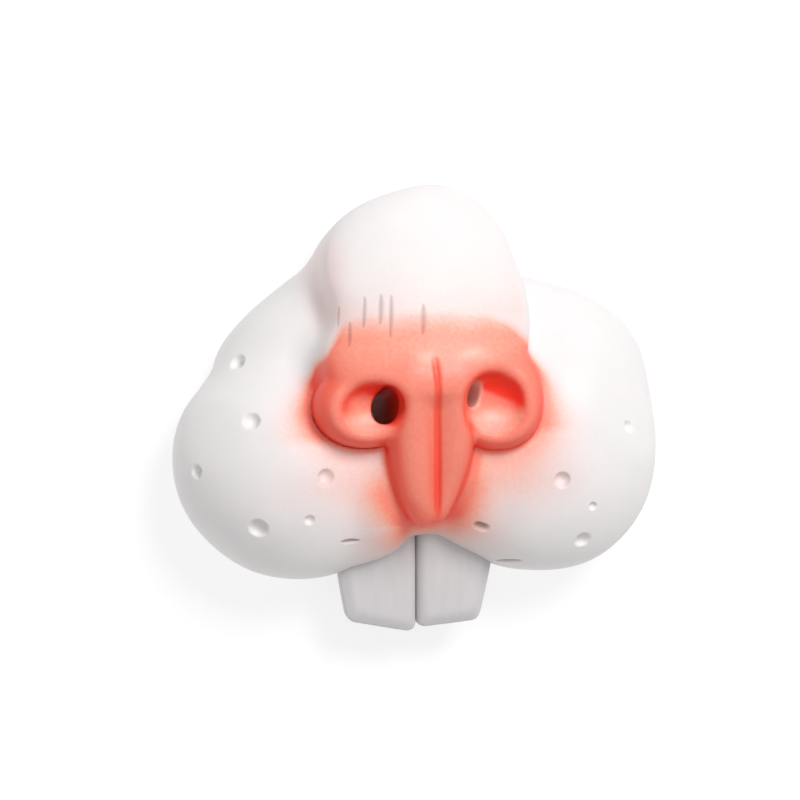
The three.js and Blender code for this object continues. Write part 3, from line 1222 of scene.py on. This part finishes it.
    def spray(self, points: Array) -> Array:
        """Measures how fully the coral paint covers the skin.

        Args:
            points: Where to measure, in mm.

        Returns:
            The cover, from 0 to 1.
        """
        paint = self.paint
        x, y = points[:, 0], points[:, 1]
        nose = np.maximum(self.tip.distance(points), self.nose_top_distance(points))
        for form in (*(nostril.wing.distance(points) for nostril in self.nostrils), self.columns(points)):
            nose = blended_min(nose, form, paint.form_blend)
        low = ramp(y, paint.low_span)
        away = np.maximum(np.maximum(nose, 0.0) - paint.reach - paint.low_reach * low, 0.0)
        mist = np.exp(-((away / (paint.fade + paint.low_fade * low)) ** paint.fade_power))
        for nostril in self.nostrils:
            mist = mist * (1.0 - (1.0 - nostril.under_paint) * self.under_wing(points, nostril))
        short, long = paint.brow_waves_mm
        wave = paint.brow_wave * np.sin(x / short) * np.sin(x / long)
        brow_line = paint.brow_line - paint.brow_fall * (x - paint.middle) ** 2 + wave
        edge = ramp(y - brow_line, paint.brow_fade) * (1.0 - paint.thinner * ramp(y, paint.thinner_span))
        bridge = ramp(np.abs(x - paint.middle), paint.bridge_sides) * ramp(y, paint.bridge_rise)
        above = np.exp(-np.maximum(y - paint.haze_from, 0.0) / paint.haze_run)
        haze = paint.haze * above * bridge * (1.0 - edge)
        flank = paint.flank * bell(x, paint.flank_middle, paint.flank_width)
        haze = np.maximum(haze, flank * ramp(y, paint.flank_rise) * ramp(y, paint.flank_end))
        # painted highlights: thinner paint over two spots on the nose's bend and over the lit lower floors
        # of the bowls
        level = paint.patch_level + paint.patch_wave * np.sin(x / paint.patch_wave_mm)
        highlight_spots = sum(bell(x, middle, width) for middle, width in paint.highlight_spots)
        painted_light = paint.highlight_strength * highlight_spots * bell(y, level, paint.patch_height)
        painted_light = painted_light + sum(self.bowl_floor(points, nostril) for nostril in self.nostrils)
        return (mist * edge + haze) * (1.0 - paint.painted_light * painted_light)

    def under_wing(self, points: Array, nostril: Nostril) -> Array:
        """Measures how far points lie on the cheek just under a nostril's wing, where less paint lands.

        Args:
            points: Where to measure, in mm.
            nostril: The nostril.

        Returns:
            The shares, from 0 to 1.
        """
        x, y = points[:, 0], points[:, 1]
        middle_x, middle_y, _ = nostril.wing.centre
        clear = ramp(nostril.wing.distance(points), self.paint.under_gap)
        band = ramp(y - middle_y, self.paint.under_top) * ramp(y, self.paint.under_low)
        beside = ramp(self.columns(points) - nostril.under_from, self.paint.under_side)
        return clear * band * beside * (x * middle_x > 0.0)

    def nose_top_distance(self, points: Array) -> Array:
        """Measures the painted top of the nose, which widens downwards.

        Args:
            points: Where to measure, in mm.

        Returns:
            How far they lie outside it.
        """
        paint = self.paint
        x, y, z = points.T
        half_width = paint.top_half_width + paint.top_spread * (paint.top_level - y)
        beyond = np.maximum(paint.top_low - y, paint.top_back - z)
        return np.maximum(np.abs(x - paint.top_middle) - half_width, beyond)

    def bowl_floor(self, points: Array, nostril: Nostril) -> Array:
        """Measures how far points lie in the lower, lit half of a nostril's bowl, whose paint is thinned as
        painted light, from 0 to 1.
        """
        low = ramp(points[:, 1] - nostril.bowl.centre[1], self.paint.floor_rise)
        return low * ramp(nostril.bowl.distance(points), self.paint.floor_depth)

    def bowl_roof(self, points: Array, nostril: Nostril) -> Array:
        """Measures how far points lie in the upper part of a nostril's bowl, where deep red paint is painted
        shade.

        Args:
            points: Where to measure, in mm.
            nostril: The nostril.

        Returns:
            The shares, from 0 to 1.
        """
        middle_x, middle_y, _ = nostril.bowl.centre
        line = middle_y + nostril.roof_level - nostril.roof_slant * (points[:, 0] - middle_x)
        inside = ramp(nostril.bowl.distance(points), self.paint.roof_depth)
        return ramp(points[:, 1] - line, self.paint.roof_rise) * inside

    def wing_crease(self, points: Array) -> Array:
        """Measures how far points lie in the crease under a nostril's wing, which is painted full coral and
        darkened as painted shade.

        Args:
            points: Where to measure, in mm.

        Returns:
            The shares, from 0 to 1.
        """
        body = self.body(points)
        whole = np.zeros(len(points))
        for nostril in self.nostrils:
            gap = nostril.wing.distance(points) - body
            below = ramp(points[:, 1] - nostril.wing.centre[1], self.paint.crease_top)
            whole = np.maximum(whole, nostril.crease * below * bell(gap, 0.0, self.paint.crease_width))
        return whole * ramp(self.columns(points), self.paint.crease_side)

    def front(self, x: float, y: float) -> Array:
        """Finds the front of the skin over a place on the face.

        Args:
            x: How far the place lies to the viewer's right, in mm.
            y: How far it lies up the face, in mm.

        Returns:
            The point on the skin, in mm.
        """
        heights = np.arange(FRONT_REACH, 0.0, -self.front_step, dtype=np.float32)
        column = np.stack([np.full_like(heights, x), np.full_like(heights, y), heights], -1)
        return column[np.argmax(self.skin(column) < 0.0)]

    def mark_line(self, mark: Mark) -> Array:
        """Finds where a mark runs on the skin.

        Args:
            mark: The mark.

        Returns:
            Points along it, in mm.
        """
        heading = math.radians(mark.heading)
        runs = np.linspace(-0.5, 0.5, self.mark_points) * mark.length
        places = [(mark.x + run * math.cos(heading), mark.y + run * math.sin(heading)) for run in runs]
        return np.stack([self.front(x, y) for x, y in places])

    def refine(self, vertices: Array, quads: Array) -> bpy.types.Mesh:
        """Makes the net a mesh, and splits its quads near the marks.

        Args:
            vertices: The net's vertices, in mm.
            quads: The net's quads.

        Returns:
            The mesh, in mm.
        """
        mesh = bpy.data.meshes.new("muzzle")
        mesh.from_pydata(vertices.tolist(), [], quads.tolist())
        lines = [self.mark_line(mark) for press in self.presses for mark in press.marks]
        work = bmesh.new()
        work.from_mesh(mesh)
        for _ in range(self.mark_rounds):
            places = np.array([v.co for v in work.verts], np.float32)
            near = np.zeros(len(places), bool)
            for line in lines:
                around = Bar(tuple(line[0]), tuple(line[-1]), self.mark_reach, self.mark_reach)
                near |= around.distance(places) < 0.0
            long = [edge for edge in work.edges if edge.calc_length() > self.mark_step]
            edges = [edge for edge in long if all(near[v.index] for v in edge.verts)]
            bmesh.ops.subdivide_edges(work, edges=edges, cuts=1, use_grid_fill=True)
            work.verts.index_update()
        work.to_mesh(mesh)
        work.free()
        return mesh

    def build(self, teeth: tuple["Incisor", ...]) -> tuple[bpy.types.Object, Vector]:
        """Draws the moulding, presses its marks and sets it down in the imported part's place.

        Args:
            teeth: The teeth that the lip holds.

        Returns:
            The object, and where the sculpt's frame lies in the part's frame, in metres.
        """
        steps = (self.coarse_step, self.fine_step)
        net = SkinNet(tuple(grid_lines(span, fine, steps) for span, fine in self.spans))
        whole = partial(self.distance, sockets=teeth)
        vertices, quads = net.draw(whole)
        mesh = self.refine(net.relax(vertices, quads), quads)
        places = np.empty(len(mesh.vertices) * 3, np.float32)
        mesh.vertices.foreach_get("co", places)
        places = net.settle(whole, places.reshape(-1, 3))
        shift = self.seat(places)
        self.add_layers(mesh, places)
        mesh.vertices.foreach_set("co", (places * MM + np.array(shift)).astype(np.float32).ravel())
        mesh.shade_smooth()
        skin = add_object("latex_muzzle", mesh)
        material = self.finish.material()
        for press in self.presses:
            press.apply(skin, self.mark_mesh(press, shift), material)
        self.thin_out(skin)
        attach(skin, BODY)
        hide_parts("muzzle")
        return skin, shift

    def thin_out(self, skin: bpy.types.Object) -> None:
        """Takes faces out of the hollow, which hardly shows, to keep the moulding inside its triangle limit.

        Args:
            skin: The moulding.
        """
        mesh = skin.data
        count = sum(len(face.vertices) - 2 for face in mesh.polygons)
        log.info("%s: %d triangles before the hollow is thinned out", skin.name, count)
        if count > self.triangle_limit:
            outside = np.empty(len(mesh.vertices), np.float32)
            mesh.attributes[Layer.OUTSIDE.value].data.foreach_get("value", outside)
            hollow = skin.vertex_groups.new(name="hollow")
            hollow.add(np.nonzero(outside < 0.5)[0].tolist(), 1.0, "REPLACE")
            thinner = skin.modifiers.new("thin_out", "DECIMATE")
            thinner.ratio = self.triangle_limit / count
            thinner.vertex_group = hollow.name
            make_plain(skin)
            skin.vertex_groups.clear()

    def seat(self, places: Array) -> Vector:
        """Finds where the sculpt's frame lies in the part's frame.

        Args:
            places: The moulding's vertices, in mm.

        Returns:
            The shift between them, in metres.
        """
        low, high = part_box("muzzle")
        sculpt_low, sculpt_high = places.min(0) * MM, places.max(0) * MM
        middle = (low.x + high.x - float(sculpt_low[0] + sculpt_high[0])) / 2.0
        return Vector((middle, high.y - float(sculpt_high[1]), low.z))

    def add_layers(self, mesh: bpy.types.Mesh, places: Array) -> None:
        """Leaves the paint, the painted shade of creases, bowls and bores, and the outside on the mesh as
        attributes.

        Args:
            mesh: The moulding's mesh.
            places: Its vertices in the sculpt's frame, in mm.
        """
        paint = self.paint
        normals = slopes(self.skin, places)
        normals /= np.maximum(np.linalg.norm(normals, axis=-1, keepdims=True), LEAST)
        facing = normals[:, 2]
        outside = (np.abs(self.skin(places)) < self.outside_reach).astype(np.float32)
        groove = self.groove(places) / self.groove_depth
        even = 1.0 - ramp(groove, paint.groove_even)
        crease = self.wing_crease(places)
        # painted shade: darker paint wherever the skin is closed in, as in creases and blends
        ahead = self.skin(places + normals * paint.shade_reach)
        shade_level = np.clip(1.0 - ahead / paint.shade_reach, 0.0, 1.0)
        shade_level = shade_level * (paint.groove_shade_kept + (1.0 - paint.groove_shade_kept) * even)
        # more painted shade on steep sides, in the groove and in the creases under the wings
        for other in (paint.steep * (1.0 - facing), paint.groove * groove, paint.crease * crease):
            shade_level = np.maximum(shade_level, other)
        # thinner paint where the skin faces straight out, except in the groove
        face_thinning = paint.face_thinning * ramp(facing, paint.thinning_facing) * even
        # the creases under the wings get full paint, which carries their painted shade
        cover = np.maximum(self.spray(places) * (1.0 - face_thinning), crease)
        for nostril in self.nostrils:
            # painted shade: deep red over the bowls' upper parts and dark red down the bores
            roof = self.bowl_roof(places, nostril)
            bore = ramp(nostril.hole_distance(places), paint.bore_side)
            bore = bore * ramp(places[:, 2], paint.bore_depth)
            shade_level = np.maximum(shade_level, np.maximum(paint.roof * roof, nostril.bore_shade * bore))
            cover = np.maximum(cover, roof) * (1.0 - (1.0 - nostril.bore_paint) * bore)
        layers = {
            Layer.CORAL: cover * outside,
            Layer.CAVITY: shade_level * outside,
            Layer.OUTSIDE: outside,
            Layer.MARK: np.zeros(len(places)),
        }
        for layer, values in layers.items():
            made = mesh.attributes.new(layer.value, "FLOAT", "POINT")
            made.data.foreach_set("value", values.astype(np.float32))

    def mark_mesh(self, press: Press, shift: Vector) -> bpy.types.Object:
        """Makes an object of one line for each mark, in the part's frame.

        Args:
            press: The press that holds the marks.
            shift: Where the sculpt's frame lies in the part's frame, in metres.

        Returns:
            The object, whose points carry the marks' sizes.
        """
        count = self.mark_points
        places = np.concatenate([self.mark_line(mark) for mark in press.marks]) * MM + np.array(shift)
        edges = [(i, i + 1) for i in range(len(places)) if (i + 1) % count]
        mesh = bpy.data.meshes.new(press.name)
        mesh.from_pydata(places.tolist(), edges, [])
        size = mesh.attributes.new("size", "FLOAT", "POINT")
        ends = np.linspace(-1.0, 1.0, count) ** 2
        sizes = np.concatenate([mark.size * (1.0 - mark.taper * ends) for mark in press.marks])
        size.data.foreach_set("value", sizes.astype(np.float32))
        return add_object(press.name, mesh)


@dataclass
class Incisor:
    """One bevelled front tooth, which hangs from the lip and leans back towards its tip."""

    side: Side
    length: float
    root_width: float
    tip_width: float
    tip_rise: float
    thickness: float = 4.6
    half_gap: float = 0.06
    fit_gap: float = 0.3
    seat: Triple = (0.85, -27, 20.2)
    lean: float = 8.0
    bevel_width: float = 2.4
    bevel_depth: float = 1.1
    edge_blend: float = 0.9
    inner_blend: float = 3.0
    corner_blend: float = 2.0
    flank_bow: float = 0.4
    inner_cut: Pair = (1.2, 0.8)
    crown: float = 0.35
    step: float = 0.4
    margin: float = 2.0
    root_margin: float = 6.0
    slot: Slot = Slot.TOOTH

    @property
    def node(self) -> str:
        """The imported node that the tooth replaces."""
        return f"tooth_{self.side.name.lower()}"

    def local(self, points: Array) -> Array:
        """Gives points in the tooth's own frame.

        Args:
            points: Places in the sculpt, in mm.

        Returns:
            Across from the gap, along from the root, and out of the front.
        """
        lean = math.radians(self.lean)
        x, y, z = (points[:, k] - self.seat[k] for k in range(3))
        across = x * self.side.value - self.half_gap
        along = math.cos(lean) * y + math.sin(lean) * z
        out = math.cos(lean) * z - math.sin(lean) * y
        return np.stack([across, along, out], -1)

    def distance(self, points: Array) -> Array:
        """Measures how far points lie outside the tooth.

        Args:
            points: Where to measure, in mm.

        Returns:
            The distances, below zero inside the tooth.
        """
        across, along, out = self.local(points).T
        middle = self.root_width / 2.0
        front = out + self.crown * ((across - middle) / middle) ** 2
        flank_run = self.length - self.tip_rise
        flank = np.hypot(flank_run, self.root_width - self.tip_width)
        outer = (flank_run * (across - self.root_width) - (self.root_width - self.tip_width) * along) / flank
        outer = outer - self.flank_bow * (1.0 - (2.0 * along / flank_run + 1.0) ** 2)
        edge = np.hypot(self.tip_width, self.tip_rise)
        tip = (-self.tip_width * (along + self.length) + self.tip_rise * across) / edge
        run, rise = self.inner_cut
        cut = -(rise * (across - run) + run * (along + self.length)) / math.hypot(run, rise)
        outline = blended_max(blended_max(outer, tip, self.corner_blend), cut, self.edge_blend)
        slant = math.hypot(self.bevel_width, self.bevel_depth)
        whole = blended_max(front, -across, self.inner_blend)
        whole = blended_max(whole, -self.thickness - out, self.edge_blend)
        for side in (outline, along):
            whole = blended_max(whole, side, self.edge_blend)
        bevel = (self.bevel_depth * (outline + self.bevel_width) + self.bevel_width * front) / slant
        return blended_max(whole, bevel, self.edge_blend / 2.0)

    def build(self, shift: Vector, material: bpy.types.Material) -> bpy.types.Object:
        """Draws the tooth and sets it down in its node's place.

        Args:
            shift: Where the sculpt's frame lies in the part's frame, in metres.
            material: The tooth's finish.

        Returns:
            The object.
        """
        seat = np.array(self.seat)
        reach = np.array([self.root_width, self.length, self.length / 2.0]) + self.margin
        spans = zip(seat - reach, seat + (reach[0], self.root_margin, self.root_margin))
        net = SkinNet(tuple(np.arange(low, high, self.step, dtype=np.float32) for low, high in spans))
        vertices, quads = net.draw(self.distance)
        places = net.settle(self.distance, vertices) * MM + np.array(shift)
        mesh = bpy.data.meshes.new(self.node)
        mesh.from_pydata(places.tolist(), [], quads.tolist())
        mesh.shade_smooth()
        mesh.materials.append(material)
        tooth = add_object(f"incisor_{self.side.name.lower()}", mesh)
        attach(tooth, BODY)
        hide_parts(self.node)
        return tooth


@dataclass
class Studio:
    """A pale floor, a large soft lamp above the viewer's right shoulder, and a camera that looks down."""

    target: Triple = (0.0, 0.0, 23.6)
    distance: float = 650.0
    azimuth: float = 12.0
    roll: float = 1.8
    side_step: float = 3.33
    lens: float = 122.85
    key_from: Triple = (240.0, 445.0, 785.0)
    key_size: float = 360.0
    key_watts: float = 4.95
    sky: str = "#FFFFFF"
    sky_strength: Pair = (0.12, 0.78)
    floor_size: float = 6.0
    floor: FloorFinish = field(default_factory=FloorFinish)

    def axes(self) -> tuple[Vector, Vector, Vector]:
        """Works out how the camera is turned.

        Returns:
            Its right, up and forward directions.
        """
        azimuth, roll = math.radians(self.azimuth), math.radians(self.roll)
        forward = Vector((math.sin(azimuth), 0.0, -math.cos(azimuth)))
        level = forward.cross(Vector((0.0, 1.0, 0.0))).normalized()
        upright = level.cross(forward)
        right = level * math.cos(roll) - upright * math.sin(roll)
        up = level * math.sin(roll) + upright * math.cos(roll)
        return right, up, forward

    def add_camera(self, shift: Vector) -> None:
        """Sets the camera up at the photograph's angle to the face.

        Args:
            shift: Where the sculpt's frame lies in the part's frame, in metres.
        """
        right, up, forward = self.axes()
        place = (Vector(self.target) - right * self.side_step - forward * self.distance) * MM + shift
        data = bpy.data.cameras.new("camera")
        data.lens = self.lens
        camera = add_object("camera", data)
        turn = Matrix((right, up, -forward)).transposed().to_4x4()
        camera.matrix_world = Matrix.Translation(place) @ turn
        bpy.context.scene.camera = camera

    def add_key(self, shift: Vector) -> None:
        """Hangs the soft lamp.

        Args:
            shift: Where the sculpt's frame lies in the part's frame, in metres.
        """
        data = bpy.data.lights.new("key", "AREA")
        data.size = self.key_size * MM
        data.energy = self.key_watts
        lamp = add_object("key", data)
        aim = Vector(self.target) - Vector(self.key_from)
        lamp.rotation_euler = aim.to_track_quat("-Z", "Y").to_euler()
        lamp.location = Vector(self.key_from) * MM + shift

    def add_floor(self) -> None:
        """Lays the floor under the part."""
        half = self.floor_size / 2.0
        corners = [(-half, -half, 0.0), (half, -half, 0.0), (half, half, 0.0), (-half, half, 0.0)]
        mesh = bpy.data.meshes.new("floor")
        mesh.from_pydata(corners, [], [(0, 1, 2, 3)])
        mesh.materials.append(self.floor.material())
        add_object("floor", mesh)

    def add_sky(self) -> None:
        """Fills the room with soft light, which is strongest from straight above."""
        world = bpy.data.worlds.new("room")
        world.use_nodes = True
        tree = world.node_tree
        tree.nodes.clear()
        direction = add_node(tree, "ShaderNodeTexCoord").outputs["Generated"]
        height = add_node(tree, "ShaderNodeSeparateXYZ", inputs={0: direction}).outputs["Z"]
        low, high = self.sky_strength
        strength = add_node(
            tree, "ShaderNodeMapRange", inputs={0: height, 1: 0.0, 2: 1.0, 3: low, 4: high}
        ).outputs[0]
        light = add_node(
            tree, "ShaderNodeBackground", inputs={"Color": linear(self.sky), "Strength": strength}
        ).outputs[0]
        add_node(tree, "ShaderNodeOutputWorld", inputs={"Surface": light})
        scene = bpy.context.scene
        scene.world = world
        scene.view_settings.view_transform = "Standard"

    def build(self, shift: Vector) -> None:
        """Sets up the floor, the light and the camera.

        Args:
            shift: Where the sculpt's frame lies in the part's frame, in metres.
        """
        self.add_camera(shift)
        self.add_key(shift)
        self.add_floor()
        self.add_sky()


def main() -> None:
    """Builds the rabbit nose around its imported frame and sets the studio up."""
    logging.basicConfig(level=logging.INFO, format="%(name)s: %(message)s")
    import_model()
    teeth = (
        Incisor(Side.LEFT, 29.6, root_width=20.8, tip_width=17, tip_rise=3.6, inner_cut=(2.4, 1.3)),
        Incisor(Side.RIGHT, 28.4, root_width=20.6, tip_width=15.2, tip_rise=1.3),
    )
    muzzle, shift = Muzzle().build(teeth)
    rubber = ToothFinish().material()
    pieces = [muzzle, *(tooth.build(shift, rubber) for tooth in teeth)]
    Studio().build(shift)
    for piece in pieces:
        log.info("%s: %d faces", piece.name, len(piece.data.polygons))


if __name__ == "__main__":
    main()
